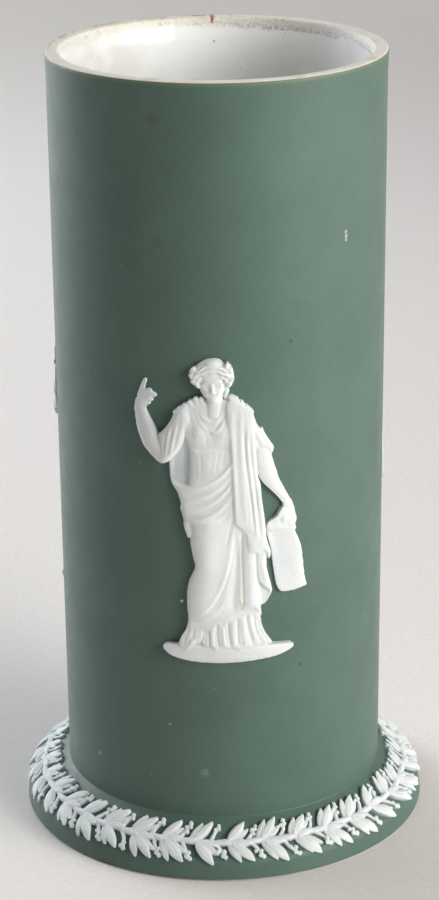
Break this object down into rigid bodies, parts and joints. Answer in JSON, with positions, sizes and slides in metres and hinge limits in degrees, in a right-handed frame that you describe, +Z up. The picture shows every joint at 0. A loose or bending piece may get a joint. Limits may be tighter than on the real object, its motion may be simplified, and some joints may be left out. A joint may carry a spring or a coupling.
{
  "type": "spill vase",
  "caption": "Tall straight-sided stoneware spill vase on a flanged foot, green outside, white glazed inside, with white relief figures round the wall and a laurel border on the foot.",
  "frame": {"origin": "centre of the foot on the surface that the vase stands on", "axes": "+Z up along the vase's axis, the front figure faces -Y, +X to the viewer's right"},
  "size_m": [0.0798, 0.0798, 0.152],
  "materials": {
    "bare_stoneware": "bare, fine and dry",
    "green_coat": "matt, unglazed, faintly mottled",
    "white_glaze": "glossy",
    "white_relief": "fine, matt to satin"
  },
  "bodies": {
    "root": {"vase_wall": "bare_stoneware", "base_disc": "bare_stoneware", "foot_flange": "bare_stoneware", "wall_coat": "green_coat", "foot_coat": "green_coat", "glaze_lining": "white_glaze", "figure_front": "white_relief", "figure_left": "white_relief", "figure_right": "white_relief", "laurel_01": "white_relief", "laurel_02": "white_relief", "laurel_03": "white_relief", "laurel_04": "white_relief", "laurel_05": "white_relief", "laurel_06": "white_relief", "laurel_07": "white_relief", "laurel_08": "white_relief", "laurel_09": "white_relief", "laurel_10": "white_relief", "laurel_11": "white_relief", "laurel_12": "white_relief"}
  },
  "joints": []
}
